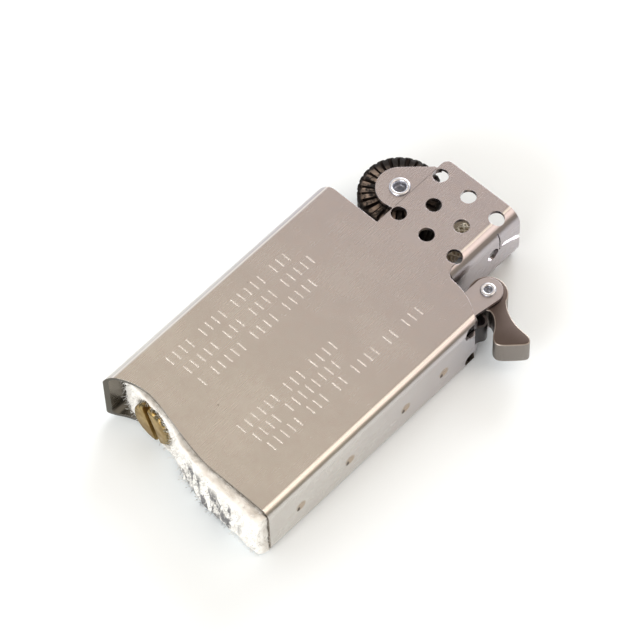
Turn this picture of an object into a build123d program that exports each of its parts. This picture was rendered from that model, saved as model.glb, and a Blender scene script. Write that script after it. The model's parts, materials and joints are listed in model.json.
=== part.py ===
"""Inside unit of a slim flip-top lighter, lying on its back.

X runs across the case, from the flint wheel's side to the cam's side.  Y runs along it,
from the felt end to the chimney.  Z is the thickness, and the back face lies on Z = 0.
The origin is the centre of the case's flat back face.  All lengths are millimetres.
"""
import os

from build123d import *

# ---------------------------------------------------------------- driving dimensions
case_width = 27.8
case_depth = 9.0
case_length = 38.7
sheet = 0.5
edge_radius = 1.3
chimney_radius = 2.1

chimney_left = -4.85
chimney_right = 7.35
chimney_height = 12.8

wheel_radius = 5.35
wheel_width = 6.4
wheel_x = -6.45
wheel_rise = 5.85
wheel_chamfer = 0.4

cam_x = 11.06
cam_rise = 2.81
cam_width = 3.7

flint_x = -6.8
wick_x = 2.6

running_gap = 0.05
soft_gap = 0.3

# ---------------------------------------------------------------- lines that follow
top = case_length / 2
bottom = -case_length / 2
side = case_width / 2
middle = case_depth / 2
inner_side = side - sheet
inner_face = case_depth - sheet
chimney_top = top + chimney_height
wheel_y = top + wheel_rise
cam_y = top + cam_rise
deck_top = top - 1.7
deck_under = deck_top - sheet

# ---------------------------------------------------------------- sizes of the details
foot_rise = 0.7
flare_x = 6.3
flare_radius = 1.7
shoulder_x = 8.2
shoulder_drop = 2.7
shoulder_bulge_x = 3.2
shoulder_bulge_y = 0.9
chimney_neck = 2.0
foot_slope_low = 2.4
foot_slope_high = 4.2
corner_radius = 2.0
chimney_corner = 0.9

over = 0.5

vent_radius = 1.02
vent_column = 4.65
vent_row = 3.83
vent_first_x = -3.75
vent_first_y = top + 2.75
end_vent_radius = 0.95
end_vent_y = top + 7.9
end_vent_z = 5.3

tab_end_y = top + 9.1
tab_slit_width = 0.18
tab_slit_low = 5.2
tab_slit_high = 8.2
seam_slope = -0.45
seam_low_z = 5.2
seam_start = 0.9
seam_gap = 0.75

# The felt end's rim as (x, rise above the bottom).
scoop_points = (
    (4.0, 0.0),
    (0.5, 0.5),
    (-4.6, 1.65),
    (-8.4, 2.25),
    (-11.5, 1.6),
    (-13.1, 0.7),
    (-13.85, 0.0),
)

relief_radius = 1.0
relief_y = top - 3.4
relief_z = 7.4
relief_depth = 1.4
relief_length = 8.0

weld_heights = (5.3, 13.8, 23.6, 30.4)
weld_z = 4.3
weld_ball = 2.0
weld_depth = 0.12

# Each row of bars as (x, height of its first bar, bars in each group).
bar_rows = (
    (-9.5, 7.2, (4, 4, 5, 3)),
    (-7.05, 7.8, (5, 3, 4, 5)),
    (-4.6, 7.8, (1, 5, 4, 5)),
    (3.4, 6.3, (6, 3, 4)),
    (5.5, 6.7, (4, 8)),
    (7.65, 7.0, (5, 3, 2, 4, 2, 3)),
)
bar_length = 1.5
bar_width = 0.16
bar_pitch = 1.15
bar_space = 1.0
bar_depth = 0.06

ear_step = 0.35
wheel_ear_radius = 3.05
ear_foot_y = top + 3.15
ear_head_y = top + 11.3
ear_head_fall = 0.2

cam_hub_radius = 2.5
# The cam's thumb lever as offsets from its pivot, from the top of the neck round the foot.
lever_points = (
    (1.6, 1.9),
    (2.8, 0.3),
    (4.1, -0.55),
    (5.6, -1.05),
    (7.2, -1.2),
    (8.1, -1.4),
    (8.45, -1.95),
    (8.2, -2.5),
    (7.25, -3.5),
    (6.3, -4.4),
    (5.5, -4.75),
    (4.8, -4.45),
    (4.1, -3.5),
    (3.3, -2.5),
    (2.3, -1.85),
    (0.8, -2.3),
)

# The leaf spring under the cam as (x, rise above the case's top).
leaf_points = ((13.75, -0.8), (13.3, 0.0), (12.6, 0.15), (11.9, -0.05))
leaf_thick = 0.3
leaf_bend_y = top - 2.2
leaf_length = 14.0
leaf_inset = 0.2

cam_ear_radius = 1.85
cam_ear_gap = 0.2
cam_ear_low_foot = 1.9
cam_ear_high_foot = 1.1
cam_gap_width = 0.6
ear_outer_z = middle + cam_width / 2 + cam_ear_gap + sheet
ear_inner_z = case_depth - ear_outer_z

tube_radius = 2.2
tube_bore = 1.5
tube_top = top - 0.3
screw_head_radius = 3.05
screw_head_thick = 1.8
screw_face_y = bottom + 0.9
screw_seat_y = screw_face_y + screw_head_thick
screw_shank_length = 5.0
screw_slot_width = 0.95
screw_slot_depth = 1.0
screw_slot_turn = 18.8
screw_chamfer = 0.25
tube_foot = screw_seat_y + running_gap

flint_radius = 1.2
flint_length = 5.0
flint_face_y = top + 0.45
tip_radius = 1.38
tip_length = 2.5
tip_chamfer = 0.4
spring_radius = 1.3
spring_wire = 0.35
spring_foot = screw_seat_y + screw_shank_length + running_gap
spring_head = flint_face_y - flint_length - tip_length - 2 * running_gap

wheel_rivet_radius = 1.2
wheel_flange_radius = 1.37
wheel_flange_thick = 0.33
wheel_flange_round = 0.2
wheel_cup_radius = 0.85
wheel_cup_depth = 1.4
cam_rivet_radius = 0.7
cam_flange_radius = 1.02
cam_flange_thick = 0.3
cam_flange_round = 0.18
cam_cup_radius = 0.5
cam_cup_depth = 0.5

wick_radius = 1.6
wick_top = top + 9.6
wick_bottom = bottom + 8.0
wire_radius = 0.16
wire_rise = 0.3

felt_low_z = sheet + soft_gap
felt_height = case_depth - 2 * felt_low_z
felt_side_x = inner_side - soft_gap
felt_split_x = -3.2
felt_hinge_y = bottom + 1.0
felt_back_y = bottom + 3.0
felt_foot_y = bottom + 4.2
felt_left_y = bottom + 2.7
felt_slope_x = -11.0
felt_slope_y = bottom + 2.0
felt_tip_y = bottom - 1.6
felt_hole_gap = 0.2

lip_low_z = 0.2
lip_high_z = 8.3
lip_left_x = -0.8
lip_back_y = bottom - 0.05
lip_bend_x = 4.0
lip_bend_y = bottom - 1.1
lip_right_x = 13.6
lip_corner = 0.6

packing_count = 4
packing_start = bottom + 4.7
packing_end = deck_under - soft_gap
packing_shift = -0.2
packing_side_gap = 0.6
packing_round = 1.2


def across(y):
    """Plane across the case at y: its own x is X, its own y is Z, and it faces -Y."""
    return Plane(origin=(0, y, middle), x_dir=(1, 0, 0), z_dir=(0, -1, 0))


def looking_in(x):
    """Plane along the case at x: its own x is Y, its own y is Z, and it faces +X."""
    return Plane(origin=(x, 0, 0), x_dir=(0, 1, 0), z_dir=(1, 0, 0))


def finish(part, name):
    """Label one finished piece and write it to its own file."""
    part.label = name
    export_step(part, f"parts/{name}.step")


os.makedirs("parts", exist_ok=True)

# ---------------------------------------------------------------- case with chimney
with BuildPart() as case_shell:
    # The fuel chamber's wall is a flattened tube.
    with BuildSketch(across(top)):
        RectangleRounded(case_width, case_depth, edge_radius)
        RectangleRounded(
            case_width - 2 * sheet,
            case_depth - 2 * sheet,
            edge_radius - sheet,
            mode=Mode.SUBTRACT,
        )
    extrude(amount=case_length)

    # The chimney is a U of the same sheet, open towards the wheel.
    with BuildSketch(across(chimney_top)):
        RectangleRounded(2 * chimney_right, case_depth, chimney_radius)
        RectangleRounded(
            2 * (chimney_right - sheet),
            case_depth - 2 * sheet,
            chimney_radius - sheet,
            mode=Mode.SUBTRACT,
        )
        with Locations((chimney_left, 0)):
            Rectangle(
                2 * chimney_right,
                2 * case_depth,
                align=(Align.MAX, Align.CENTER),
                mode=Mode.SUBTRACT,
            )
    extrude(amount=chimney_height - foot_rise)

    for face_z, ear_z in ((0.0, ear_step), (inner_face, inner_face - ear_step)):
        # Each face runs on flat from the chamber into the chimney, with a flared foot.
        with BuildSketch(Plane.XY.offset(face_z)):
            with BuildLine():
                Polyline(
                    (flare_x + flare_radius, top),
                    (shoulder_x + over, top),
                    (shoulder_x + over, top - chimney_neck),
                    (chimney_left, top - chimney_neck),
                    (chimney_left, top + chimney_neck),
                    (chimney_right - chimney_radius, top + foot_slope_high),
                    (flare_x, top + foot_slope_low),
                    (flare_x, top + flare_radius),
                )
                CenterArc((flare_x + flare_radius, top + flare_radius), flare_radius, 180, 90)
            make_face()
        extrude(amount=sheet)

        # The wheel's ear is pressed in from the face, with a step along the crease.
        with BuildSketch(Plane.XY.offset(ear_z)):
            with BuildLine():
                CenterArc((wheel_x, wheel_y), wheel_ear_radius, 0, 360)
                Polyline(
                    (chimney_left + sheet, ear_foot_y),
                    (chimney_left + sheet, ear_head_y),
                    (chimney_left - sheet, ear_head_y - ear_head_fall),
                )
            make_hull()
        extrude(amount=sheet)
        with BuildSketch(Plane.XY.offset(min(face_z, ear_z))):
            with Locations((chimney_left, ear_foot_y)):
                Rectangle(sheet, ear_head_y - ear_foot_y, align=(Align.MIN, Align.MIN))
        extrude(amount=sheet + ear_step)

    # Rim: a low shoulder on the cam's side, a round corner on the wheel's side,
    # and a scoop across the felt end.
    with BuildSketch(Plane.XY):
        with BuildLine():
            ThreePointArc(
                (shoulder_x, top),
                (shoulder_x + shoulder_bulge_x, top - shoulder_bulge_y),
                (side, top - shoulder_drop),
            )
            Polyline(
                (side, top - shoulder_drop),
                (side + over, top - shoulder_drop),
                (side + over, top + over),
                (shoulder_x, top + over),
                (shoulder_x, top),
            )
        make_face()
        with BuildLine():
            CenterArc((corner_radius - side, top - corner_radius), corner_radius, 90, 90)
            Polyline(
                (-side, top - corner_radius),
                (-side - over, top - corner_radius),
                (-side - over, top + over),
                (corner_radius - side, top + over),
                (corner_radius - side, top),
            )
        make_face()
        with BuildLine():
            CenterArc(
                (chimney_left + chimney_corner, chimney_top - chimney_corner),
                chimney_corner,
                90,
                90,
            )
            Polyline(
                (chimney_left, chimney_top - chimney_corner),
                (chimney_left - over, chimney_top - chimney_corner),
                (chimney_left - over, chimney_top + over),
                (chimney_left + chimney_corner, chimney_top + over),
                (chimney_left + chimney_corner, chimney_top),
            )
        make_face()
        with BuildLine():
            Spline([(x, bottom + rise) for x, rise in scoop_points])
            Polyline(
                (scoop_points[-1][0], bottom),
                (scoop_points[-1][0], bottom - over),
                (scoop_points[0][0], bottom - over),
                (scoop_points[0][0], bottom),
            )
        make_face()
    extrude(amount=case_depth, mode=Mode.SUBTRACT)

    # Relief notches end the folded corner on the cam's side.
    with BuildSketch(looking_in(side - relief_depth)):
        for notch_z in (relief_z, case_depth - relief_z):
            with Locations((relief_y, notch_z)):
                Circle(relief_radius)
                Rectangle(relief_length, 2 * relief_radius, align=(Align.MIN, Align.CENTER))
    extrude(amount=2 * relief_depth, mode=Mode.SUBTRACT)

    # Vents go through both faces, and the middle row's last one is in the end wall.
    with BuildSketch(Plane.XY):
        for row, columns in enumerate((3, 2, 3)):
            shift = vent_column / 2 if row == 1 else 0.0
            for column in range(columns):
                vent_x = vent_first_x + shift + column * vent_column
                with Locations((vent_x, vent_first_y + row * vent_row)):
                    Circle(vent_radius)
        with Locations((wheel_x, wheel_y)):
            Circle(wheel_rivet_radius + running_gap / 2)
    extrude(amount=case_depth, mode=Mode.SUBTRACT)
    with BuildSketch(looking_in(chimney_right - 2 * sheet)):
        with Locations((end_vent_y, end_vent_z)):
            Circle(end_vent_radius)
        # The end wall's tab stops at a slit, and above it a slanted gap parts the two flaps.
        with Locations((tab_end_y, tab_slit_low)):
            Rectangle(
                tab_slit_width,
                tab_slit_high - tab_slit_low,
                align=(Align.CENTER, Align.MIN),
            )
        seam_end_y = chimney_top + over
        seam_drop = seam_slope * (seam_end_y - tab_end_y - seam_start)
        with BuildLine():
            Polyline(
                (tab_end_y, seam_low_z + seam_gap / 2),
                (tab_end_y + seam_start, seam_low_z),
                (seam_end_y, seam_low_z + seam_drop),
                (seam_end_y, seam_low_z + seam_gap + seam_drop),
                (tab_end_y + seam_start, seam_low_z + seam_gap),
                close=True,
            )
        make_face()
    extrude(amount=3 * sheet, mode=Mode.SUBTRACT)

    # Spot welds leave a row of shallow dimples in the cam's side.
    for weld in weld_heights:
        with Locations((side + weld_ball - weld_depth, bottom + weld, weld_z)):
            Sphere(weld_ball, mode=Mode.SUBTRACT)

    # Rows of plain stamped bars stand in short groups.
    with BuildSketch(Plane.XY.offset(case_depth)):
        for row_x, row_y, groups in bar_rows:
            bar_y = bottom + row_y
            for group in groups:
                for bar in range(group):
                    with Locations((row_x, bar_y)):
                        Rectangle(bar_length, bar_width)
                    bar_y += bar_pitch
                bar_y += bar_space
    extrude(amount=-bar_depth, mode=Mode.SUBTRACT)
finish(case_shell.part, "case_shell")

# ---------------------------------------------------------------- deck inside the rim
with BuildPart() as deck_plate:
    with BuildSketch(across(deck_top)):
        RectangleRounded(
            2 * inner_side - running_gap, case_depth - 2 * sheet, edge_radius - sheet
        )
        with Locations((flint_x, 0)):
            Circle(tube_radius + running_gap / 2, mode=Mode.SUBTRACT)
        with Locations((wick_x, 0)):
            Circle(wick_radius + running_gap, mode=Mode.SUBTRACT)
        # The cam's spring comes up through a gap at the end.
        with Locations((inner_side - cam_gap_width, 0)):
            Rectangle(
                2 * cam_gap_width,
                cam_width,
                align=(Align.MIN, Align.CENTER),
                mode=Mode.SUBTRACT,
            )
    extrude(amount=sheet)

    # Two ears bent up from the plate carry the cam.
    for ear_z in (ear_inner_z, ear_outer_z - sheet):
        with BuildSketch(Plane.XY.offset(ear_z)):
            with BuildLine():
                CenterArc((cam_x, cam_y), cam_ear_radius, 0, 360)
                Line(
                    (cam_x - cam_ear_low_foot, deck_under),
                    (cam_x + cam_ear_high_foot, deck_under),
                )
            make_hull()
            with Locations((cam_x, cam_y)):
                Circle(cam_rivet_radius + running_gap / 2, mode=Mode.SUBTRACT)
        extrude(amount=sheet)
finish(deck_plate.part, "deck_plate")

# ---------------------------------------------------------------- flint and its feed
with BuildPart() as flint_tube:
    with BuildSketch(across(tube_top)):
        with Locations((flint_x, 0)):
            Circle(tube_radius)
            Circle(tube_bore, mode=Mode.SUBTRACT)
    extrude(amount=tube_top - tube_foot)
finish(flint_tube.part, "flint_tube")

with BuildPart() as flint:
    with BuildSketch(across(flint_face_y)):
        with Locations((flint_x, 0)):
            Circle(flint_radius)
    extrude(amount=flint_length)
finish(flint.part, "flint")

with BuildPart() as spring_tip:
    with BuildSketch(across(flint_face_y - flint_length - running_gap)):
        with Locations((flint_x, 0)):
            Circle(tip_radius)
    extrude(amount=tip_length)
    chamfer(spring_tip.faces().sort_by(Axis.Y)[-1].edges(), tip_chamfer)
finish(spring_tip.part, "spring_tip")

# The coil spring stands as a sleeve of its own wire's width.
with BuildPart() as flint_spring:
    with BuildSketch(across(spring_head)):
        with Locations((flint_x, 0)):
            Circle(spring_radius)
            Circle(spring_radius - spring_wire, mode=Mode.SUBTRACT)
    extrude(amount=spring_head - spring_foot)
finish(flint_spring.part, "flint_spring")

with BuildPart() as flint_screw:
    with BuildSketch(across(screw_seat_y)):
        with Locations((flint_x, 0)):
            Circle(screw_head_radius)
    extrude(amount=screw_head_thick)
    chamfer(flint_screw.faces().sort_by(Axis.Y)[0].edges(), screw_chamfer)
    with BuildSketch(across(screw_seat_y + screw_shank_length)):
        with Locations((flint_x, 0)):
            Circle(tube_bore - running_gap)
    extrude(amount=screw_shank_length)
    with BuildSketch(across(screw_face_y + screw_slot_depth)):
        with Locations(Location((flint_x, 0), screw_slot_turn)):
            Rectangle(screw_slot_width, 3 * screw_head_radius)
    extrude(amount=2 * screw_slot_depth, mode=Mode.SUBTRACT)
finish(flint_screw.part, "flint_screw")

# ---------------------------------------------------------------- flint wheel
with BuildPart() as flint_wheel:
    with BuildSketch(Plane.XY.offset(middle - wheel_width / 2)):
        with Locations((wheel_x, wheel_y)):
            Circle(wheel_radius)
            Circle(wheel_rivet_radius + running_gap, mode=Mode.SUBTRACT)
    extrude(amount=wheel_width)
    rims = flint_wheel.edges().filter_by(GeomType.CIRCLE).sort_by(SortBy.RADIUS)[-2:]
    chamfer(rims, wheel_chamfer)
finish(flint_wheel.part, "flint_wheel")



def tubular_rivet(x, y, low_z, high_z, shaft, flange, thick, rounding, cup, cup_depth):
    """A rivet from low_z to high_z with a rounded flange and a cup outside each end."""
    with BuildPart() as rivet:
        with BuildSketch(Plane.XY.offset(low_z)):
            with Locations((x, y)):
                Circle(shaft)
        extrude(amount=high_z - low_z)
        for flange_z in (low_z - thick, high_z):
            with BuildSketch(Plane.XY.offset(flange_z)):
                with Locations((x, y)):
                    Circle(flange)
            extrude(amount=thick)
        flanges = rivet.faces().filter_by(Axis.Z).sort_by(Axis.Z)
        fillet([flanges[0].edges()[0], flanges[-1].edges()[0]], rounding)
        for cup_z, depth in ((low_z - thick, cup_depth), (high_z + thick, -cup_depth)):
            with BuildSketch(Plane.XY.offset(cup_z)):
                with Locations((x, y)):
                    Circle(cup)
            extrude(amount=depth, mode=Mode.SUBTRACT)
    return rivet.part


finish(
    tubular_rivet(
        wheel_x,
        wheel_y,
        ear_step,
        case_depth - ear_step,
        wheel_rivet_radius,
        wheel_flange_radius,
        wheel_flange_thick,
        wheel_flange_round,
        wheel_cup_radius,
        wheel_cup_depth,
    ),
    "wheel_rivet",
)
finish(
    tubular_rivet(
        cam_x,
        cam_y,
        ear_inner_z,
        ear_outer_z,
        cam_rivet_radius,
        cam_flange_radius,
        cam_flange_thick,
        cam_flange_round,
        cam_cup_radius,
        cam_cup_depth,
    ),
    "cam_rivet",
)

# ---------------------------------------------------------------- cam lever
with BuildPart() as cam_lever:
    with BuildSketch(Plane.XY.offset(middle - cam_width / 2)):
        with Locations((cam_x, cam_y)):
            Circle(cam_hub_radius)
        outline = [(cam_x + x, cam_y + y) for x, y in lever_points]
        with BuildLine():
            Spline(outline)
            Line(outline[-1], outline[0])
        make_face()
        with Locations((cam_x, cam_y)):
            Circle(cam_rivet_radius + running_gap, mode=Mode.SUBTRACT)
    extrude(amount=cam_width)
finish(cam_lever.part, "cam_lever")

# A leaf spring is welded inside the cam's side, swells out and bends over under the cam.
leaf_x = inner_side - leaf_thick / 2
with BuildPart() as cam_spring:
    with BuildSketch(Plane.XY.offset(middle - cam_width / 2 + leaf_inset)):
        with BuildLine():
            Line((leaf_x, top - leaf_length), (leaf_x, leaf_bend_y))
            Spline(
                [(leaf_x, leaf_bend_y)] + [(x, top + rise) for x, rise in leaf_points],
                tangents=((0, 1), (-1, -0.3)),
            )
        trace(line_width=leaf_thick)
    extrude(amount=cam_width - 2 * leaf_inset)
finish(cam_spring.part, "cam_spring")

# ---------------------------------------------------------------- wick
with BuildPart() as wick:
    with BuildSketch(across(wick_top)):
        with Locations((wick_x, 0)):
            Circle(wick_radius)
            Circle(wire_radius + running_gap, mode=Mode.SUBTRACT)
    extrude(amount=wick_top - wick_bottom)
finish(wick.part, "wick")

with BuildPart() as wick_wire:
    with BuildSketch(across(wick_top + wire_rise)):
        with Locations((wick_x, 0)):
            Circle(wire_radius)
    extrude(amount=wick_top + wire_rise - wick_bottom)
finish(wick_wire.part, "wick_wire")

# ---------------------------------------------------------------- packing in the chamber
packing_pitch = (packing_end - packing_start + soft_gap) / packing_count
for number in range(packing_count):
    ball_foot = packing_start + number * packing_pitch
    with BuildPart() as packing_ball:
        with BuildSketch(across(ball_foot + packing_pitch - soft_gap)):
            with Locations((packing_shift, 0)):
                RectangleRounded(
                    2 * inner_side - 2 * packing_side_gap,
                    case_depth - 2 * sheet - 2 * soft_gap,
                    corner_radius,
                )
        extrude(amount=packing_pitch - soft_gap)
        ends = packing_ball.faces().filter_by(Axis.Y).edges()
        fillet(ends, packing_round)
        with BuildSketch(across(ball_foot + packing_pitch)):
            with Locations((flint_x, 0)):
                Circle(tube_radius + soft_gap)
            with Locations((wick_x, 0)):
                Circle(wick_radius + soft_gap)
        extrude(amount=2 * packing_pitch, mode=Mode.SUBTRACT)
    finish(packing_ball.part, f"packing_ball_{number + 1}")

# ---------------------------------------------------------------- felt
def felt_block(outline):
    """Felt with an outline in X and Y, rounded to stand clear of the chamber's walls."""
    with BuildPart() as block:
        with BuildSketch(Plane.XY.offset(felt_low_z)):
            with BuildLine():
                Polyline(*outline, close=True)
            make_face()
        extrude(amount=felt_height)
        with BuildSketch(across(felt_foot_y)):
            RectangleRounded(2 * felt_side_x, felt_height, edge_radius - sheet - soft_gap)
        extrude(amount=felt_foot_y - felt_tip_y, mode=Mode.INTERSECT)
    return block.part


with BuildPart() as felt_pad:
    add(
        felt_block(
            (
                (felt_split_x - running_gap, felt_hinge_y),
                (felt_split_x - running_gap, felt_foot_y),
                (-felt_side_x, felt_foot_y),
                (-felt_side_x, felt_left_y),
                (felt_slope_x, felt_slope_y),
            )
        )
    )
    with BuildSketch(across(felt_foot_y)):
        with Locations((flint_x, 0)):
            Circle(screw_head_radius + felt_hole_gap)
    extrude(amount=felt_foot_y - felt_tip_y, mode=Mode.SUBTRACT)
finish(felt_pad.part, "felt_pad")

with BuildPart() as felt_flap:
    add(
        felt_block(
            (
                (felt_split_x, felt_hinge_y),
                (lip_left_x, lip_back_y),
                (felt_side_x, lip_back_y),
                (felt_side_x, felt_back_y),
                (felt_split_x, felt_back_y),
            )
        )
    )
    # A lip of felt swells out past the rim.
    with BuildSketch(Plane.XY.offset(lip_low_z)):
        with BuildLine():
            Polyline(
                (lip_left_x, lip_back_y),
                (lip_bend_x, lip_bend_y),
                (lip_right_x - lip_corner, felt_tip_y),
                (lip_right_x, felt_tip_y + lip_corner),
                (lip_right_x, lip_back_y),
                close=True,
            )
        make_face()
    extrude(amount=lip_high_z - lip_low_z)
finish(felt_flap.part, "felt_flap")
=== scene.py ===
"""Looks for a slim lighter's inside unit, lying on its back on a pale table."""
import json
import math
import random

import bmesh
import bpy
from mathutils import Matrix, Vector, noise


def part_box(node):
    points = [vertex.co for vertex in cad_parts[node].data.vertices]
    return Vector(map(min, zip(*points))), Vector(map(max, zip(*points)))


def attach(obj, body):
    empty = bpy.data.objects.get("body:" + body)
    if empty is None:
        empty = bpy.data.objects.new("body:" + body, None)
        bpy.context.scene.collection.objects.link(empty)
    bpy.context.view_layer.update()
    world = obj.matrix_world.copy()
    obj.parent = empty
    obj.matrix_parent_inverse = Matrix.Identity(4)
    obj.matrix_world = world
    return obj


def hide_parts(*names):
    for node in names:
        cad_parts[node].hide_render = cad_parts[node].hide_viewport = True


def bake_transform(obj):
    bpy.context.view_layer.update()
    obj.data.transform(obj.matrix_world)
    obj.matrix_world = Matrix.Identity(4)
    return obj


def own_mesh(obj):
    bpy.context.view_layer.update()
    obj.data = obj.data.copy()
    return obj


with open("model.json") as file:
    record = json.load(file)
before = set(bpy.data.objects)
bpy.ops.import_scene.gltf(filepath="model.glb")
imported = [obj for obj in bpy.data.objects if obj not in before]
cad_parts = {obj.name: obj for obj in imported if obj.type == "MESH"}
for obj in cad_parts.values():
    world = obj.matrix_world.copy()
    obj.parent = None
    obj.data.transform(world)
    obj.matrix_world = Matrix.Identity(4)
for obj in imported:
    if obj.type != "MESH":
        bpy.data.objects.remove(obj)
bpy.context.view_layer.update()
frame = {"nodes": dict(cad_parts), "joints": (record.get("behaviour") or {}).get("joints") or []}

MM = 0.001
NODES = frame["nodes"]


# ---------------------------------------------------------------- places from the frame
joints = {joint["name"]: joint for joint in frame["joints"]}
wheel_centre = Vector(joints["wheel_spin"]["pos_m"])
cam_centre = Vector(joints["cam_pivot"]["pos_m"])

# Places in millimetres. The case lies from z = 0 to 2 * MIDDLE, with its bottom towards -Y.
CASE_SIDE = 13.9
CASE_BOTTOM = -19.35
MIDDLE = 4.5
FLINT_X = -6.8
WICK_X = 2.6
CREASE_X = -4.85
FELT_RIM = -17.1
WELD_Z = 4.3
WELD_HEIGHTS = [CASE_BOTTOM + height for height in (5.3, 13.8, 23.6, 30.4)]

# Colours of the room's ceiling, and of the marks on the case's steel, among them a painted
# highlight in the stamped strokes and painted shade in the crease and inside the case.
CEILING = (0.74, 0.64, 0.54)
CHIMNEY_END_TINT = (0.45, 0.415, 0.455)
MOTTLE = (0.58, 0.50, 0.48)
SPECK = (0.16, 0.13, 0.11)
STROKE_PAINTED_HIGHLIGHT = (0.93, 0.90, 0.86)
CREASE_SHADOW = (0.10, 0.08, 0.07)
INSIDE_PAINTED_SHADE = (0.20, 0.18, 0.15)
DARK_RIM = (0.14, 0.13, 0.11)
PALE_RIM = (0.38, 0.35, 0.32)
WELD_BROWN = (0.42, 0.31, 0.21)
WELD_PIT = (0.05, 0.04, 0.035)


# ---------------------------------------------------------------- node graph helper
class Graph:
    """A material's node tree, with short calls for the nodes that the materials share."""

    def __init__(self, name):
        self.material = bpy.data.materials.new(name)
        self.material.use_nodes = True
        self.tree = self.material.node_tree
        self.tree.nodes.clear()
        self.shader = self.tree.nodes.new("ShaderNodeBsdfPrincipled")
        output = self.tree.nodes.new("ShaderNodeOutputMaterial")
        self.tree.links.new(self.shader.outputs[0], output.inputs[0])
        coordinates = self.tree.nodes.new("ShaderNodeTexCoord")
        self.place = coordinates.outputs["Object"]

    def feed(self, socket, value):
        """Set a socket to a constant, or link it to another socket."""
        if isinstance(value, bpy.types.NodeSocket):
            self.tree.links.new(value, socket)
        else:
            socket.default_value = value

    def set(self, **values):
        """Set or link the shader's own sockets, named with _ for a space."""
        for name, value in values.items():
            self.feed(self.shader.inputs[name.replace("_", " ")], value)

    def stretched(self, scale):
        """Object coordinates scaled by (x, y, z) cells a metre."""
        mapping = self.tree.nodes.new("ShaderNodeMapping")
        self.feed(mapping.inputs["Vector"], self.place)
        mapping.inputs["Scale"].default_value = scale
        return mapping.outputs[0]

    def noise(self, scale, detail=3.0, rough=0.5, distortion=0.0):
        """Fractal noise from 0 to 1 with (x, y, z) cells a metre."""
        texture = self.tree.nodes.new("ShaderNodeTexNoise")
        self.feed(texture.inputs["Vector"], self.stretched(scale))
        texture.inputs["Scale"].default_value = 1.0
        texture.inputs["Detail"].default_value = detail
        texture.inputs["Roughness"].default_value = rough
        texture.inputs["Distortion"].default_value = distortion
        return texture.outputs["Fac"]

    def cells(self, scale):
        """Distance to the nearest of scattered points, with (x, y, z) cells a metre."""
        texture = self.tree.nodes.new("ShaderNodeTexVoronoi")
        self.feed(texture.inputs["Vector"], self.stretched(scale))
        texture.inputs["Scale"].default_value = 1.0
        return texture.outputs["Distance"]

    def math(self, operation, first, second=0.0, third=0.0):
        """The result of one math node."""
        node = self.tree.nodes.new("ShaderNodeMath")
        node.operation = operation
        for socket, value in zip(node.inputs, (first, second, third)):
            self.feed(socket, value)
        return node.outputs[0]

    def fade(self, value, start, end, low=0.0, high=1.0):
        """value mapped smoothly from start..end to low..high, and held beyond both."""
        node = self.tree.nodes.new("ShaderNodeMapRange")
        node.interpolation_type = "SMOOTHSTEP"
        self.feed(node.inputs["Value"], value)
        node.inputs["From Min"].default_value = start
        node.inputs["From Max"].default_value = end
        node.inputs["To Min"].default_value = low
        node.inputs["To Max"].default_value = high
        return node.outputs["Result"]

    def mix(self, amount, first, second):
        """Colour between first and second."""
        node = self.tree.nodes.new("ShaderNodeMix")
        node.data_type = "RGBA"
        self.feed(node.inputs[0], amount)
        for socket, value in ((node.inputs[6], first), (node.inputs[7], second)):
            if isinstance(value, tuple):
                value = (*value, 1.0)
            self.feed(socket, value)
        return node.outputs[2]

    def bump(self, height, strength, depth, normal=None):
        """Surface detail of the given depth in metres."""
        node = self.tree.nodes.new("ShaderNodeBump")
        node.inputs["Strength"].default_value = strength
        node.inputs["Distance"].default_value = depth
        self.feed(node.inputs["Height"], height)
        if normal is not None:
            self.feed(node.inputs["Normal"], normal)
        return node.outputs[0]

    def axis(self, name):
        """One object coordinate, in metres."""
        node = self.tree.nodes.new("ShaderNodeSeparateXYZ")
        self.feed(node.inputs[0], self.place)
        return node.outputs[name]

    def facing(self, name, normal="True Normal"):
        """One part of the surface's normal."""
        geometry = self.tree.nodes.new("ShaderNodeNewGeometry")
        split = self.tree.nodes.new("ShaderNodeSeparateXYZ")
        self.feed(split.inputs[0], geometry.outputs[normal])
        return split.outputs[name]

    def from_line(self, first, first_place, second, second_place):
        """Distance in metres from a line along one axis, by its places on the other two."""
        across = self.math("SUBTRACT", self.axis(first), first_place)
        upward = self.math("SUBTRACT", self.axis(second), second_place)
        across = self.math("MULTIPLY", across, across)
        return self.math("SQRT", self.math("MULTIPLY_ADD", upward, upward, across))

    def from_pin(self, centre):
        """Distance in metres from an upright line through a point."""
        return self.from_line("X", centre.x, "Y", centre.y)

    def from_screw(self):
        """Distance in metres from the flint screw's axis, which runs along Y."""
        return self.from_line("X", FLINT_X * MM, "Z", MIDDLE * MM)

    def from_welds(self, shift):
        """Distance in metres from the nearest weld spot, moved down and back by a shift."""
        nearest = 1.0
        for height in WELD_HEIGHTS:
            node = self.tree.nodes.new("ShaderNodeVectorMath")
            node.operation = "DISTANCE"
            self.feed(node.inputs[0], self.place)
            spot = (CASE_SIDE * MM, height * MM - shift, WELD_Z * MM - shift)
            node.inputs[1].default_value = spot
            nearest = self.math("MINIMUM", node.outputs["Value"], nearest)
        return nearest

    def inward(self, name, middle, start, end):
        """1 on faces that look back at the middle of an axis from beyond start..end."""
        offset = self.math("SUBTRACT", self.axis(name), middle)
        facing = self.math("MULTIPLY", self.math("SIGN", offset), self.facing(name))
        far = self.fade(self.math("ABSOLUTE", offset), start, end)
        return self.math("MULTIPLY", self.fade(facing, -0.2, -0.6), far)

    def inside_case(self):
        """1 on the inner faces of the case and chimney, and 0 on their outer faces."""
        flat = self.inward("Z", MIDDLE * MM, 3.3 * MM, 3.6 * MM)
        side = self.inward("X", 0.0, 12.5 * MM, 12.8 * MM)
        return self.math("MAXIMUM", flat, side)

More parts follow.
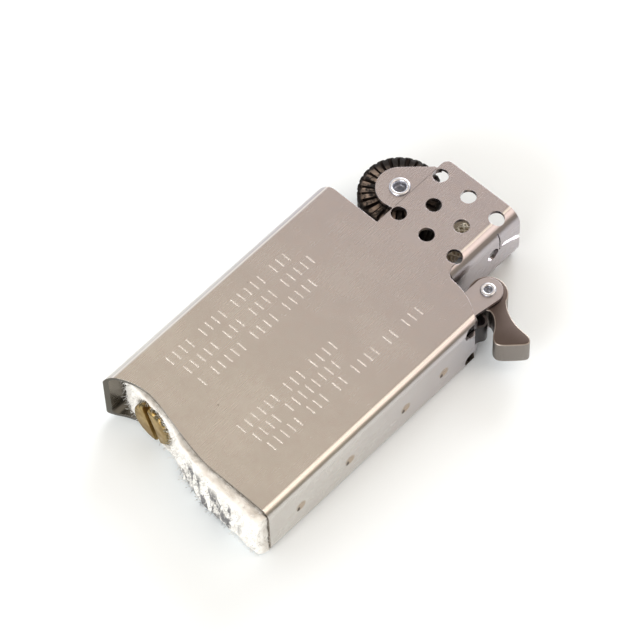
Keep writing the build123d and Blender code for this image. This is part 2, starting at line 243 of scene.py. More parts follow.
    def bend(self):
        """1 on rounded bends between a face that lies flat and one that stands upright."""
        tilt = self.math("ABSOLUTE", self.facing("Z"))
        return self.math("MULTIPLY", self.fade(tilt, 0.999, 0.97), self.fade(tilt, 0.02, 0.2))

    def cut_rim(self):
        """1 on the sheet's cut rim at the felt end, and 0 elsewhere."""
        low = self.fade(self.axis("Y"), -12 * MM, -14 * MM)
        return self.math("MULTIPLY", low, self.fade(self.facing("Y"), -0.4, -0.6))

    def upright(self):
        """1 on faces that stand upright, and 0 on faces that lie flat."""
        return self.fade(self.math("ABSOLUTE", self.facing("Z", "Normal")), 0.7, 0.3)

    def crease(self):
        """1 along the line where the wheel's ears leave the chimney, and 0 elsewhere."""
        along = self.axis("Y")
        start = self.fade(along, 22.3 * MM, 22.6 * MM)
        end = self.fade(along, 30.6 * MM, 30.3 * MM)
        offset = self.math("SUBTRACT", self.axis("X"), CREASE_X * MM)
        near = self.fade(self.math("ABSOLUTE", offset), 0.10 * MM, 0.03 * MM)
        return self.math("MULTIPLY", near, self.math("MULTIPLY", start, end))

    def stamped(self):
        """1 on the floors of the stamped strokes, which lie just under the front face."""
        height = self.axis("Z")
        above = self.fade(height, 8.90 * MM, 8.93 * MM)
        below = self.fade(height, 8.985 * MM, 8.96 * MM)
        return self.math("MULTIPLY", above, below)

    def worn_edges(self, radius):
        """A normal that rounds every sharp edge by a radius in metres."""
        node = self.tree.nodes.new("ShaderNodeBevel")
        node.samples = 4
        node.inputs["Radius"].default_value = radius
        return node.outputs[0]


def paint(material, *names):
    """Give CAD nodes a material."""
    for name in names:
        slots = NODES[name].data.materials
        slots.clear()
        slots.append(material)


# ---------------------------------------------------------------- materials
def sheet_tint(graph, smudge, colour):
    """Sheet colour: smudged, darker and pinker towards the chimney end, mottled and specked."""
    mottle = graph.noise((900, 900, 900), detail=3.0)
    speck = graph.cells((260, 260, 260))
    shade = tuple(0.94 * channel for channel in colour)
    # The colour turns darker and pinker towards the chimney end.
    toward_chimney = graph.fade(graph.axis("Y"), -18 * MM, 32 * MM)
    base = graph.mix(graph.fade(smudge, 0.35, 0.65), shade, colour)
    base = graph.mix(graph.math("MULTIPLY", toward_chimney, 0.8), base, CHIMNEY_END_TINT)
    base = graph.mix(graph.fade(mottle, 0.4, 0.7, 0.0, 0.22), base, MOTTLE)
    return graph.mix(graph.fade(speck, 0.035, 0.02, 0.0, 0.7), base, SPECK)


def sheet_marks(graph, base):
    """The sheet's painted highlight in its stamped strokes, painted shadow in its crease, painted
    shade on its inner faces, cut rim and weld spots.
    """
    # Painted highlight: the floors of the stamped strokes are coloured bright where they would
    # catch light.
    base = graph.mix(graph.math("MULTIPLY", graph.stamped(), 0.8), base, STROKE_PAINTED_HIGHLIGHT)
    base = graph.mix(graph.math("MULTIPLY", graph.crease(), 0.8), base, CREASE_SHADOW)
    # Painted shade: the inner faces of the case and chimney are coloured dark where shade falls
    # inside.
    base = graph.mix(graph.inside_case(), base, INSIDE_PAINTED_SHADE)
    rim = graph.mix(graph.fade(graph.axis("X"), -12 * MM, -7 * MM), DARK_RIM, PALE_RIM)
    base = graph.mix(graph.cut_rim(), base, rim)
    weld = graph.fade(graph.from_welds(0.0), 0.95 * MM, 0.60 * MM, 0.0, 0.7)
    base = graph.mix(weld, base, WELD_BROWN)
    pit = graph.fade(graph.from_welds(0.4 * MM), 0.36 * MM, 0.22 * MM, 0.0, 0.85)
    return graph.mix(pit, base, WELD_PIT)


def satin_steel(name, colour, rough):
    """Stainless sheet with a faint lengthwise grain and stray scratches."""
    graph = Graph(name)
    smudge = graph.noise((110, 160, 160), detail=5.0, rough=0.6)
    grain = graph.noise((9000, 300, 9000), detail=2.0)
    scratch = graph.noise((420, 5200, 5200), detail=1.0, distortion=1.6)
    roughness = graph.math("MULTIPLY_ADD", grain, 0.03, rough - 0.015)
    roughness = graph.math("MULTIPLY_ADD", smudge, 0.05, graph.math("SUBTRACT", roughness, 0.025))
    roughness = graph.math("MULTIPLY_ADD", graph.bend(), 0.07, roughness)
    height = graph.math("ADD", grain, graph.fade(scratch, 0.80, 0.84, 0.0, -1.0))
    graph.set(
        Base_Color=sheet_marks(graph, sheet_tint(graph, smudge, colour)),
        Metallic=1.0,
        Roughness=roughness,
        Normal=graph.bump(height, 0.03, 0.004 * MM, graph.worn_edges(0.07 * MM)),
    )
    return graph.material


def bright_steel(name):
    """Plated rivet steel with small dents, and painted shade in the cups of the two rivets."""
    graph = Graph(name)
    dents = graph.noise((1800, 1800, 1800), detail=2.0)
    wheel_cup_shade = graph.fade(graph.from_pin(wheel_centre), 0.86 * MM, 0.74 * MM)
    cam_cup_shade = graph.fade(graph.from_pin(cam_centre), 0.52 * MM, 0.44 * MM)
    plated = graph.mix(dents, (0.60, 0.61, 0.66), (0.75, 0.76, 0.80))
    # Painted shade: the cups are coloured dark and bluish where shade falls inside them.
    cup = graph.mix(dents, (0.16, 0.17, 0.21), (0.26, 0.28, 0.33))
    graph.set(
        Base_Color=graph.mix(graph.math("MAXIMUM", wheel_cup_shade, cam_cup_shade), plated, cup),
        Metallic=1.0,
        Roughness=graph.fade(dents, 0.3, 0.7, 0.24, 0.34),
        Normal=graph.bump(dents, 0.05, 0.006 * MM),
    )
    return graph.material


def dark_steel(name, colour, rough):
    """Sintered or near-black steel with an even grain."""
    graph = Graph(name)
    grain = graph.noise((6000, 6000, 6000), detail=3.0)
    patch = graph.noise((500, 500, 500), detail=3.0)
    light = tuple(min(1.0, 1.35 * channel) for channel in colour)
    graph.set(
        Base_Color=graph.mix(patch, colour, light),
        Metallic=1.0,
        Roughness=graph.math("MULTIPLY_ADD", grain, 0.16, rough - 0.08),
        Normal=graph.bump(grain, 0.35, 0.012 * MM),
    )
    return graph.material


def worn_cam_steel(name):
    """Dark sintered steel, lighter on its ground sides."""
    graph = Graph(name)
    grain = graph.noise((5200, 5200, 5200), detail=3.0)
    patch = graph.noise((420, 420, 420), detail=4.0)
    grinding = graph.noise((400, 400, 6000), detail=2.0)
    base = graph.mix(patch, (0.098, 0.077, 0.070), (0.135, 0.108, 0.099))
    base = graph.mix(graph.upright(), base, (0.25, 0.225, 0.205))
    graph.set(
        Base_Color=base,
        Metallic=1.0,
        Roughness=graph.math("MULTIPLY_ADD", grain, 0.14, 0.33),
        Normal=graph.bump(graph.math("ADD", grain, grinding), 0.25, 0.008 * MM),
    )
    return graph.material


def worn_wheel_steel(name):
    """Blackened file-hard steel, rubbed brown in patches on the faces of its side teeth."""
    graph = Graph(name)
    grain = graph.noise((5200, 5200, 5200), detail=3.0)
    patch = graph.noise((900, 900, 900), detail=4.0, rough=0.65)
    reach = graph.from_pin(wheel_centre)
    band = graph.math(
        "MULTIPLY",
        graph.fade(reach, 2.9 * MM, 3.3 * MM),
        graph.fade(reach, 5.05 * MM, 4.6 * MM),
    )
    along = graph.math("SUBTRACT", graph.axis("Y"), wheel_centre.y)
    across = graph.math("SUBTRACT", graph.axis("X"), wheel_centre.x)
    sector = graph.fade(graph.math("SUBTRACT", along, across), 6.0 * MM, 3.4 * MM)
    rubbed = graph.math("MULTIPLY", band, graph.fade(patch, 0.40, 0.60))
    rubbed = graph.math("MULTIPLY", rubbed, sector)
    graph.set(
        Base_Color=graph.mix(rubbed, (0.016, 0.014, 0.013), (0.28, 0.22, 0.18)),
        Metallic=graph.fade(rubbed, 0.0, 1.0, 0.2, 1.0),
        Specular_IOR_Level=0.12,
        Roughness=graph.math("MULTIPLY_ADD", grain, 0.2, 0.38),
        Normal=graph.bump(graph.math("ADD", grain, patch), 0.5, 0.03 * MM),
    )
    return graph.material


def turned_brass(name):
    """Turned brass with tool rings, dull patches, and olive grime towards the screw's rim."""
    graph = Graph(name)
    dull = graph.noise((900, 900, 900), detail=4.0)
    rings = graph.noise((12000, 600, 12000), detail=1.0)
    dirt = graph.noise((1700, 1700, 1700), detail=3.0)
    rim = graph.fade(graph.from_screw(), 2.1 * MM, 3.0 * MM)
    grime = graph.math("MULTIPLY", rim, graph.fade(dirt, 0.42, 0.58))
    base = graph.mix(graph.fade(dull, 0.3, 0.7), (0.31, 0.20, 0.065), (0.50, 0.36, 0.145))
    graph.set(
        Base_Color=graph.mix(grime, base, (0.10, 0.08, 0.035)),
        Metallic=graph.fade(grime, 0.0, 1.0, 1.0, 0.2),
        Roughness=graph.math("MAXIMUM", graph.fade(dull, 0.3, 0.7, 0.42, 0.28), grime),
        Normal=graph.bump(rings, 0.3, 0.01 * MM),
    )
    return graph.material


def soiled(graph, base, fibre):
    """Felt's colour, darker olive in a ring round the screw, and with broken dark smudges on its
    flap.
    """
    ring = graph.fade(graph.from_screw(), 3.9 * MM, 3.2 * MM)
    ring = graph.math("MULTIPLY", ring, graph.fade(fibre, 0.40, 0.60))
    base = graph.mix(ring, base, (0.16, 0.13, 0.07))
    along = graph.axis("X")
    patch = graph.math(
        "MULTIPLY",
        graph.fade(along, -3.0 * MM, -0.5 * MM),
        graph.fade(along, 11.0 * MM, 9.0 * MM),
    )
    patch = graph.math("MULTIPLY", patch, graph.fade(graph.axis("Z"), 7.2 * MM, 5.2 * MM))
    streak = graph.noise((1100, 1100, 380), detail=2.5, distortion=0.6)
    smudge = graph.math("MULTIPLY", patch, graph.fade(streak, 0.50, 0.57))
    return graph.mix(graph.math("MULTIPLY", smudge, 0.9), base, (0.05, 0.05, 0.06))


def soft_cotton(name, colour, shade, dirty=False):
    """Matt fibre in clumps of two shades."""
    graph = Graph(name)
    fibre = graph.noise((7000, 7000, 7000), detail=4.0, distortion=0.8)
    clump = graph.noise((900, 900, 900), detail=3.0)
    base = graph.mix(graph.fade(clump, 0.3, 0.7), shade, colour)
    graph.set(
        Base_Color=soiled(graph, base, fibre) if dirty else base,
        Roughness=0.95,
        Sheen_Weight=0.35,
        Normal=graph.bump(fibre, 0.8, 0.08 * MM),
    )
    return graph.material


case_steel = satin_steel("case_satin_steel", (0.665, 0.64, 0.60), 0.27)
deck_steel = satin_steel("deck_satin_steel", (0.58, 0.55, 0.52), 0.30)
rivet_steel = bright_steel("rivet_bright_steel")
cam_steel = worn_cam_steel("cam_sintered_steel")
cam_edge = dark_steel("cam_rubbed_edge", (0.36, 0.32, 0.29), 0.34)
wheel_steel = worn_wheel_steel("wheel_hard_steel")
wheel_soot = dark_steel("wheel_sooty_gaps", (0.025, 0.02, 0.018), 0.7)
spring_steel = dark_steel("spring_near_black_steel", (0.05, 0.045, 0.045), 0.35)
flint_alloy = dark_steel("flint_alloy", (0.16, 0.15, 0.15), 0.6)
brass = turned_brass("turned_brass")
copper = dark_steel("copper_wire", (0.55, 0.26, 0.13), 0.3)
felt = soft_cotton("felt_wool", (0.92, 0.91, 0.87), (0.82, 0.80, 0.75), dirty=True)
felt_hair = soft_cotton("felt_fibre", (0.94, 0.93, 0.90), (0.86, 0.84, 0.80), dirty=True)
cotton = soft_cotton("packing_cotton", (0.90, 0.89, 0.87), (0.80, 0.79, 0.77))
braid = soft_cotton("wick_braid", (0.90, 0.82, 0.68), (0.72, 0.60, 0.44))

paint(case_steel, "case_shell")
paint(deck_steel, "deck_plate")
paint(spring_steel, "cam_spring")
paint(flint_alloy, "flint")
paint(brass, "flint_tube", "spring_tip")


# ---------------------------------------------------------------- mesh helpers
def new_piece(name, points, faces, materials, face_materials=None, crease=None):
    """An object from millimetre points, with a material number for each face if given."""
    mesh = bpy.data.meshes.new(name)
    mesh.from_pydata([Vector(point) * MM for point in points], [], faces)
    for material in materials:
        mesh.materials.append(material)
    if face_materials:
        mesh.polygons.foreach_set("material_index", face_materials)
    return show_mesh(name, mesh, crease)


def show_mesh(name, mesh, crease=None):
    """An object for a mesh, shaded smooth apart from creases over an angle in degrees."""
    mesh.validate()
    mesh.polygons.foreach_set("use_smooth", [True] * len(mesh.polygons))
    if crease is not None:
        mesh.set_sharp_from_angle(angle=math.radians(crease))
    piece = bpy.data.objects.new(name, mesh)
    bpy.context.scene.collection.objects.link(piece)
    return piece


def place(piece, body, slot, *nodes):
    """Let a piece ride a body in the stead of CAD nodes."""
    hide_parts(*nodes)
    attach(piece, body)


def ring_faces(rows, count):
    """Quads between successive rings of count points each."""
    faces = []
    for row in range(rows - 1):
        for step in range(count):
            following = (step + 1) % count
            low = row * count
            high = low + count
            faces.append((low + step, low + following, high + following, high + step))
    return faces


def about_y(centre_x, centre_z, radius, height, angle):
    """A point at a radius and angle round a line along Y, at a height up the line."""
    return centre_x + radius * math.cos(angle), height, centre_z + radius * math.sin(angle)


def lathe(profile, centre, axis, count=64):
    """Points and faces of a closed (radius, height) profile turned about an axis."""
    points = []
    for radius, height in profile:
        for step in range(count):
            angle = 2 * math.pi * step / count
            flat = (radius * math.cos(angle), radius * math.sin(angle))
            if axis == "z":
                points.append((centre[0] + flat[0], centre[1] + flat[1], height))
            else:
                points.append((centre[0] + flat[1], height, centre[1] + flat[0]))
    faces = ring_faces(len(profile), count)
    faces.append(tuple(range(count))[::-1])
    last = (len(profile) - 1) * count
    faces.append(tuple(range(last, last + count)))
    return points, faces


def tube(path, radius, sides=6):
    """Points and faces of a round tube along a path of Vectors; radius may be a list."""
    points = []
    reference = Vector((0.3, 0.2, 0.93))
    for number, place_on_path in enumerate(path):
        ahead = path[min(number + 1, len(path) - 1)]
        behind = path[max(number - 1, 0)]
        along = (ahead - behind).normalized()
        first = along.cross(reference).normalized()
        second = along.cross(first)
        reach = radius[number] if isinstance(radius, list) else radius
        for side in range(sides):
            angle = 2 * math.pi * side / sides
            offset = math.cos(angle) * first + math.sin(angle) * second
            points.append(place_on_path + reach * offset)
    faces = ring_faces(len(path), sides)
    faces.append(tuple(range(sides)))
    last = (len(path) - 1) * sides
    faces.append(tuple(range(last, last + sides))[::-1])
    return points, faces


def joined(parts):
    """One list of points and faces from several."""
    points, faces = [], []
    for part_points, part_faces in parts:
        shift = len(points)
        points.extend(part_points)
        faces.extend(tuple(index + shift for index in face) for face in part_faces)
    return points, faces


def cad_mesh(*nodes):
    """The joined mesh of CAD nodes, with flat faces merged."""
    shape = bmesh.new()
    for name in nodes:
        shape.from_mesh(NODES[name].data)
    bmesh.ops.remove_doubles(shape, verts=shape.verts, dist=0.001 * MM)
    bmesh.ops.dissolve_limit(
        shape, angle_limit=math.radians(0.5), verts=shape.verts, edges=shape.edges
    )
    return shape


def bevelled(name, node, width, material, worn=None, clamp=True):
    """A copy of a CAD node with its sharp edges worn round, in a worn material if given."""
    shape = cad_mesh(node)
    sharp = [edge for edge in shape.edges if edge.is_manifold and edge.calc_face_angle() > 0.5]
    bevel = bmesh.ops.bevel(
        shape,
        geom=sharp,
        offset=width,
        segments=3,
        profile=0.5,
        affect="EDGES",
        clamp_overlap=clamp,
    )
    for face in shape.faces:
        face.material_index = 0
    for face in bevel["faces"]:
        face.material_index = 1 if worn else 0
    mesh = bpy.data.meshes.new(name)
    shape.to_mesh(mesh)
    shape.free()
    mesh.materials.append(material)
    if worn:
        mesh.materials.append(worn)
    return show_mesh(name, mesh, crease=40)


def soft_copy(name, nodes, cell, lump, lump_size, material):
    """CAD solids remeshed into cells and pushed in and out in lumps, for cotton and felt."""
    shape = cad_mesh(*nodes)
    bmesh.ops.triangulate(shape, faces=shape.faces)
    mesh = bpy.data.meshes.new(name)
    shape.to_mesh(mesh)
    shape.free()
    mesh.materials.append(material)
    source = bpy.data.objects.new(name + "_source", mesh)
    bpy.context.scene.collection.objects.link(source)
    remesh = source.modifiers.new("cells", "REMESH")
    remesh.mode = "VOXEL"
    remesh.voxel_size = cell * MM
    smooth = source.modifiers.new("round", "SMOOTH")
    smooth.factor = 0.5
    smooth.iterations = 6
    bpy.context.view_layer.update()
    evaluated = source.evaluated_get(bpy.context.evaluated_depsgraph_get())
    soft = bpy.data.meshes.new_from_object(evaluated)
    bpy.data.objects.remove(source)
    soft.name = name
    for vertex in soft.vertices:
        spot = vertex.co / (lump_size * MM)
        push = noise.fractal(spot, 0.8, 2.0, 3)
        vertex.co += vertex.normal * push * lump * MM
    return show_mesh(name, soft)


def fuzz(mesh, count, length, thickness, seed, keep):
    """Points and faces of short curly fibres standing on the faces that keep() accepts."""
    chance = random.Random(seed)
    spots = [face for face in mesh.polygons if keep(face)]
    parts = []
    for _ in range(count):
        face = chance.choice(spots)
        start = face.center / MM
        drift = Vector([chance.gauss(0, 1) for _ in range(3)])
        heading = (face.normal * 0.9 + drift * 0.75).normalized()
        step = length * chance.uniform(0.5, 1.4) / 4
        path = [start - face.normal * 0.1]
        for _ in range(4):
            heading = (heading + Vector([chance.gauss(0, 0.32) for _ in range(3)])).normalized()
            path.append(path[-1] + heading * step)
        parts.append(tube(path, thickness, sides=3))
    return joined(parts)


def keep_inside(piece, rim_height):
    """Hold a soft piece's points inside the case's walls, and above the table past its rim."""
    inner, outer = 0.55, 0.05
    for vertex in piece.data.vertices:
        wall = inner if vertex.co.y > rim_height * MM else outer
        reach = (CASE_SIDE - wall) * MM
        low, high = wall * MM, (2 * MIDDLE - wall) * MM
        vertex.co.x = min(max(vertex.co.x, -reach), reach)
        vertex.co.z = min(max(vertex.co.z, low), high)


# ---------------------------------------------------------------- pieces
def make_wheel():
    """Flint wheel: radial teeth on the sides, and two crossing cuts round the rim."""
    teeth, steps = 27, 10
    count = teeth * steps
    radius, width, bore = 5.33, 6.38, 1.26
    lip, lip_drop = 5.0, 0.08
    side_cut, rim_cut = 0.45, 0.13
    chance = random.Random(4)
    worn = [chance.uniform(0.55, 1.0) for _ in range(teeth)]
    shift = [chance.uniform(-0.9, 0.9) for _ in range(teeth)]
    side_radii = [bore, 2.4, 2.9, 3.2, 3.6, 4.0, 4.4, 4.75, 5.1]
    rim_rows = 25
    points, rows, dark = [], [], []

    def side_gap(tooth, part, reach):
        """How deep the side's gap is, from 0 to 1, at a part of a tooth's pitch."""
        wide = 0.20 + 0.07 * shift[tooth]
        edge = min(part, 1 - part)
        if edge > wide / 2 + 0.03:
            return 0.0
        return reach * worn[tooth]

    def side_rows(sign):
        """Rings of a side from the bore outwards, as (radius, angle, height, is a gap)."""
        for radius_here in side_radii:
            on_lip = radius_here > lip
            reach = min(1.0, max(0.0, (radius_here - 2.7) / 0.5))
            reach *= 0.25 if on_lip else 1.0
            row = []
            for step in range(count):
                tooth, part = divmod(step, steps)
                gap = side_gap(tooth, part / steps, reach)
                turn = 0.045 * shift[tooth] * reach
                angle = 2 * math.pi * step / count + turn
                height = width / 2 - side_cut * gap - (lip_drop if on_lip else 0.0)
                row.append((radius_here, angle, sign * height, gap > 0.3))
            yield row

    def rim_row(part):
        """One ring of the rim, at a part of its width from the front."""
        row = []
        height = width / 2 - 0.2 - part * (width - 0.4)
        for step in range(count):
            angle = 2 * math.pi * step / count
            turns = teeth * angle / (2 * math.pi)
            first = (turns + 1.9 * part) % 1.0
            second = (turns - 3.1 * part) % 1.0
            cut = max(0.0, 1 - abs(first - 0.5) / 0.2, 0.8 - abs(second - 0.5) / 0.18)
            row.append((radius - rim_cut * cut, angle, height, cut > 0.4))
        return row

    rows.extend(side_rows(1))
    rows.extend(rim_row(number / (rim_rows - 1)) for number in range(rim_rows))
    rows.extend(list(side_rows(-1))[::-1])
    centre = wheel_centre / MM
    for row in rows:
        for radius_here, angle, height, is_gap in row:
            points.append(
                (
                    centre.x + radius_here * math.cos(angle),
                    centre.y + radius_here * math.sin(angle),
                    MIDDLE + height,
                )
            )
            dark.append(is_gap)
    # The last ring joins the first, so the faces close into a wheel with a bore.
    total = len(points)
    faces = ring_faces(len(rows) + 1, count)
    faces = [tuple(index % total for index in face) for face in faces]
    face_materials = [1 if sum(dark[index] for index in face) >= 2 else 0 for face in faces]
    piece = new_piece(
        "wheel_teeth", points, faces, [wheel_steel, wheel_soot], face_materials, crease=35
    )
    place(piece, "wheel", "wheel_steel", "flint_wheel")


def make_rivets():
    """Tubular rivets with rolled rims and a cup in each end."""

    def rolled(outer, rim_low, rim_high, cup, cup_low, shaft):
        """(radius, height) points of one end, from the cup's middle out to the shaft."""
        height = rim_high - rim_low
        middle = (outer + cup) / 2
        return [
            (0.02, cup_low + 0.12),
            (cup * 0.25, cup_low + 0.10),
            (cup * 0.5, cup_low + 0.02),
            (cup * 0.78, cup_low),
            (cup * 0.95, cup_low + 0.08),
            (cup, cup_low + 0.2),
            (cup + 0.02, rim_low + 0.55 * height),
            (cup + 0.12, rim_low + 0.9 * height),
            (middle, rim_high),
            (outer - 0.12, rim_low + 0.86 * height),
            (outer - 0.01, rim_low + 0.5 * height),
            (outer - 0.02, rim_low + 0.1 * height),
            (outer - 0.14, rim_low),
            (shaft, rim_low),
        ]

    wheel_end = rolled(1.37, 4.15, 4.48, 0.84, 3.35, 1.19)
    cam_end = rolled(1.02, 2.55, 2.84, 0.5, 2.42, 0.69)
    for name, node, centre, profile in (
        ("wheel_rivet_tube", "wheel_rivet", wheel_centre, wheel_end),
        ("cam_rivet_tube", "cam_rivet", cam_centre, cam_end),
    ):
        upper = [(radius, MIDDLE + height) for radius, height in profile]
        lower = [(radius, MIDDLE - height) for radius, height in profile[::-1]]
        points, faces = lathe(upper + lower, centre / MM, "z")
        piece = new_piece(name, points, faces, [rivet_steel], crease=60)
        place(piece, "case", "rivet_steel", node)


def make_screw():
    """Slotted screw with worn edges and a rolled thread on its shank."""
    seat, shank_end = -16.65, -11.65
    trimmed_shank, core, crest, half_root, half_crest = 1.27, 1.22, 1.44, 0.2, 0.03
    piece = bevelled("screw_head", "flint_screw", 0.12 * MM, brass)
    for vertex in piece.data.vertices:
        spot = vertex.co / MM
        across = Vector((spot.x - FLINT_X, spot.z - MIDDLE))
        if spot.y > seat + 0.05 and 1.0 < across.length < 1.6:
            across *= trimmed_shank / across.length
            vertex.co.x = (FLINT_X + across.x) * MM
            vertex.co.z = (MIDDLE + across.y) * MM
    place(piece, "screw", "brass", "flint_screw")

    section = ((core, -half_root), (crest, -half_crest), (crest, half_crest), (core, half_root))
    pitch, steps = 0.5, 24
    turns = int((shank_end - seat - 0.4) / pitch)
    points = []
    for step in range(turns * steps + 1):
        angle = 2 * math.pi * step / steps
        height = seat + 0.3 + pitch * step / steps
        for radius, rise in section:
            points.append(about_y(FLINT_X, MIDDLE, radius, height + rise, angle))
    faces = ring_faces(turns * steps + 1, 4)
    thread = new_piece("screw_thread", points, faces, [brass], crease=30)
    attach(thread, "screw")


def make_spring():
    """The flint's coil spring, with its first coils closed."""
    box_low, box_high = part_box("flint_spring")
    low, high = box_low.y / MM, box_high.y / MM
    wire, radius, coils, steps = 0.17, 1.12, 26, 20
    closed_coils, closed_rise = 2, 0.52
    path = []
    total = coils * steps
    for step in range(total + 1):
        part = step / total
        rise = closed_rise * part if part * coils <= closed_coils else part
        angle = 2 * math.pi * step / steps
        height = low + wire + rise * (high - low - 2 * wire)
        path.append(Vector(about_y(FLINT_X, MIDDLE, radius, height, angle)))
    points, faces = tube(path, wire, sides=6)
    piece = new_piece("spring_coil", points, faces, [spring_steel])
    place(piece, "feed_spring", "spring_steel", "flint_spring")
    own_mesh(piece)


def make_cam():
    """The cam lever, with worn edges in a brighter steel."""
    piece = bevelled("cam_worn", "cam_lever", 0.12 * MM, cam_steel, cam_edge, clamp=False)
    place(piece, "cam", "cam_steel", "cam_lever")


def make_wick():
    """Braided cotton over a core, with a twisted copper wire down the middle."""
    low, high = -11.35, 28.9
    thread_radius, cover_radius, weave_height, frayed = 0.17, 1.36, 0.07, 1.6
    parts = []
    strands, lay, spacing = 8, 7.0, 0.4
    count = int((high - low) / spacing)
    for hand in (1, -1):
        for strand in range(strands):
            path, thick = [], []
            for number in range(count + 1):
                height = low + (high - low) * number / count
                turn = hand * (height - low) / lay + strand / strands
                weave = math.cos(2 * math.pi * strands * (height - low) / lay + math.pi * strand)
                radius = cover_radius + weave_height * hand * weave
                fray = max(0.0, (height - high + frayed) / frayed)
                radius *= 1 - 0.25 * fray * fray
                angle = 2 * math.pi * turn
                height -= 0.25 * fray * (strand % 3)
                path.append(Vector(about_y(WICK_X, MIDDLE, radius, height, angle)))
                thick.append(thread_radius * (1 - 0.3 * fray))
            parts.append(tube(path, thick, sides=5))
    core = [(1.22, low + 0.1), (1.22, high - frayed), (1.0, high - 0.7), (0.5, high - 0.5)]
    parts.append(lathe(core, (WICK_X, MIDDLE), "y", count=24))
    points, faces = joined(parts)
    piece = new_piece("wick_braid_cover", points, faces, [braid])
    place(piece, "case", "wick_cotton", "wick")

    wires = []
    wire, twist_radius, twist_pitch, tip, count = 0.08, 0.09, 1.4, 0.3, 240
    for strand in range(2):
        path = []
        for number in range(count):
            height = low + (high + tip - low) * number / (count - 1)
            angle = 2 * math.pi * (height / twist_pitch + strand / 2)
            path.append(Vector(about_y(WICK_X, MIDDLE, twist_radius, height, angle)))
        wires.append(tube(path, wire, sides=5))
    points, faces = joined(wires)
    piece = new_piece("wick_wire_twist", points, faces, [copper])
    place(piece, "case", "copper", "wick_wire")


def make_packing():
    """Four wads of cotton with loose strands."""
    for number in range(1, 5):
        node = f"packing_ball_{number}"
        piece = soft_copy(f"cotton_wad_{number}", [node], 0.5, 0.2, 1.6, cotton)
        strands = fuzz(piece.data, 160, 0.35, 0.03, 20 + number, lambda face: True)
        whiskers = new_piece(f"cotton_wad_{number}_strands", *strands, [cotton])
        keep_inside(piece, CASE_BOTTOM)
        keep_inside(whiskers, CASE_BOTTOM)
        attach(whiskers, "case")
        place(piece, "case", "packing_cotton", node)


def make_felt():
    """One felt pad, made from the pad and its flap together, with a fuzzy face."""
    piece = soft_copy("felt_sheet", ["felt_pad", "felt_flap"], 0.2, 0.16, 1.1, felt)
    hair = fuzz(piece.data, 2600, 0.75, 0.022, 7, lambda face: face.normal.y < 0.25)
    fibres = new_piece("felt_fibres", *hair, [felt_hair])
    for cloth in (piece, fibres):
        keep_inside(cloth, FELT_RIM)
        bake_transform(cloth)
    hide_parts("felt_pad", "felt_flap")


make_wheel()
make_rivets()
make_screw()
make_spring()
make_cam()
make_wick()
make_packing()
make_felt()


# ---------------------------------------------------------------- floor, light, camera
def make_floor():
    """A pale table top just under the object."""
    size, drop = 1.5, 0.02 * MM
    mesh = bpy.data.meshes.new("table_top")
    corners = [(-size, -size, 0), (size, -size, 0), (size, size, 0), (-size, size, 0)]
    mesh.from_pydata(corners, [], [(0, 1, 2, 3)])
    floor = bpy.data.objects.new("table_top", mesh)
    floor.location.z = -drop
    bpy.context.scene.collection.objects.link(floor)
    graph = Graph("table_white")
    graph.set(Base_Color=(0.89, 0.955, 1.0, 1.0), Roughness=0.5, Specular_IOR_Level=0.2)
    mesh.materials.append(graph.material)


def area_light(name, direction, distance, size, power, colour=(1.0, 1.0, 1.0)):
    """A soft square light that shines on the object from a direction."""
    light = bpy.data.lights.new(name, "AREA")
    light.shape = "SQUARE"
    light.size = size
    light.energy = power
    light.color = colour
    lamp = bpy.data.objects.new(name, light)
    toward = Vector(direction).normalized()
    lamp.location = toward * distance
    lamp.rotation_mode = "QUATERNION"
    lamp.rotation_quaternion = toward.to_track_quat("Z", "Y")
    bpy.context.scene.collection.objects.link(lamp)


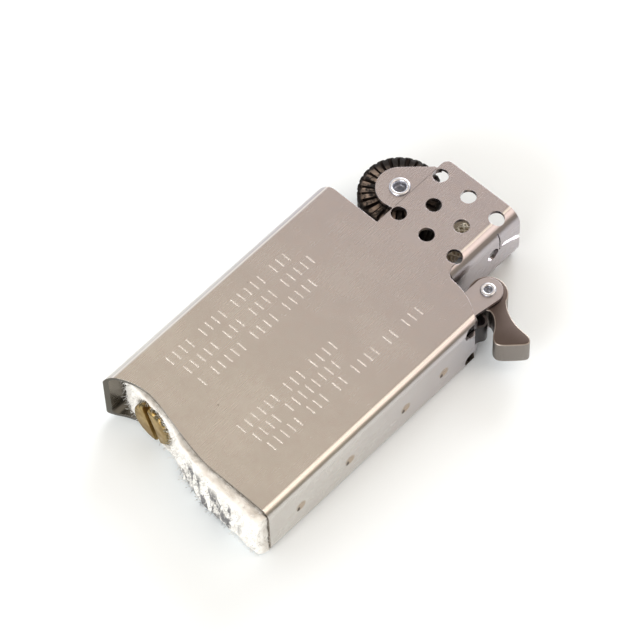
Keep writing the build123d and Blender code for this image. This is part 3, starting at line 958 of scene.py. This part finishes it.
def make_world():
    """A room with a warm ceiling and pale walls, and a dark corner on the cam's side."""
    world = bpy.data.worlds.new("soft_room")
    world.use_nodes = True
    tree = world.node_tree
    background = tree.nodes["Background"]
    coordinates = tree.nodes.new("ShaderNodeTexCoord")
    split = tree.nodes.new("ShaderNodeSeparateXYZ")
    tree.links.new(coordinates.outputs["Generated"], split.inputs[0])

    def ramp(axis, levels):
        """Colours from (position, colour) levels along one axis of the room."""
        node = tree.nodes.new("ShaderNodeValToRGB")
        tree.links.new(split.outputs[axis], node.inputs[0])
        while len(node.color_ramp.elements) < len(levels):
            node.color_ramp.elements.new(0.5)
        for element, (place_on_ramp, colour) in zip(node.color_ramp.elements, levels):
            element.position = place_on_ramp
            element.color = (*colour, 1.0)
        return node.outputs[0]

    pale = ramp("Z", ((0.25, (1.06, 1.10, 1.16)), (0.75, CEILING)))
    corner_levels = (
        (0.0, (0.10, 0.09, 0.06)),
        (0.20, (0.20, 0.17, 0.12)),
        (0.45, (0.43, 0.36, 0.27)),
        (0.75, CEILING),
    )
    corner = ramp("Z", corner_levels)
    cam_side = ramp("X", ((0.35, (0.0, 0.0, 0.0)), (0.70, (1.0, 1.0, 1.0))))
    blend = tree.nodes.new("ShaderNodeMix")
    blend.data_type = "RGBA"
    tree.links.new(cam_side, blend.inputs[0])
    tree.links.new(pale, blend.inputs[6])
    tree.links.new(corner, blend.inputs[7])
    tree.links.new(blend.outputs[2], background.inputs["Color"])
    background.inputs["Strength"].default_value = 1.0
    bpy.context.scene.world = world


def make_camera():
    """A long lens that looks down at the wheel's side from the front corner."""
    azimuth, elevation, roll = math.radians(45.48), math.radians(58.0), math.radians(-2.38)
    target = Vector((-2.45, 6.46, 4.0)) * MM
    distance, focal_length = 0.43505, 199.589625
    back = Vector(
        (
            math.sin(azimuth) * math.cos(elevation),
            -math.cos(azimuth) * math.cos(elevation),
            math.sin(elevation),
        )
    )
    across = (-back).cross(Vector((0, 0, 1))).normalized()
    upward = across.cross(-back)
    right = math.cos(roll) * across + math.sin(roll) * upward
    up = -math.sin(roll) * across + math.cos(roll) * upward
    data = bpy.data.cameras.new("camera")
    data.sensor_width = 36.0
    data.lens = focal_length
    data.clip_start = 0.01
    camera = bpy.data.objects.new("camera", data)
    turn = Matrix((right, up, back)).transposed().to_4x4()
    camera.matrix_world = Matrix.Translation(target + back * distance) @ turn
    bpy.context.scene.collection.objects.link(camera)
    bpy.context.scene.camera = camera


make_floor()
make_world()
area_light("key", (-0.35, 0.85, 0.42), 1.2, 0.7, 8.0)
area_light("fill", (0.1, -0.8, 0.35), 1.2, 0.7, 9.0)
area_light("edge", (0.46, 0.37, 0.80), 1.0, 0.5, 1.55, (1.0, 0.85, 0.75))
make_camera()
bpy.context.scene.view_settings.view_transform = "Standard"
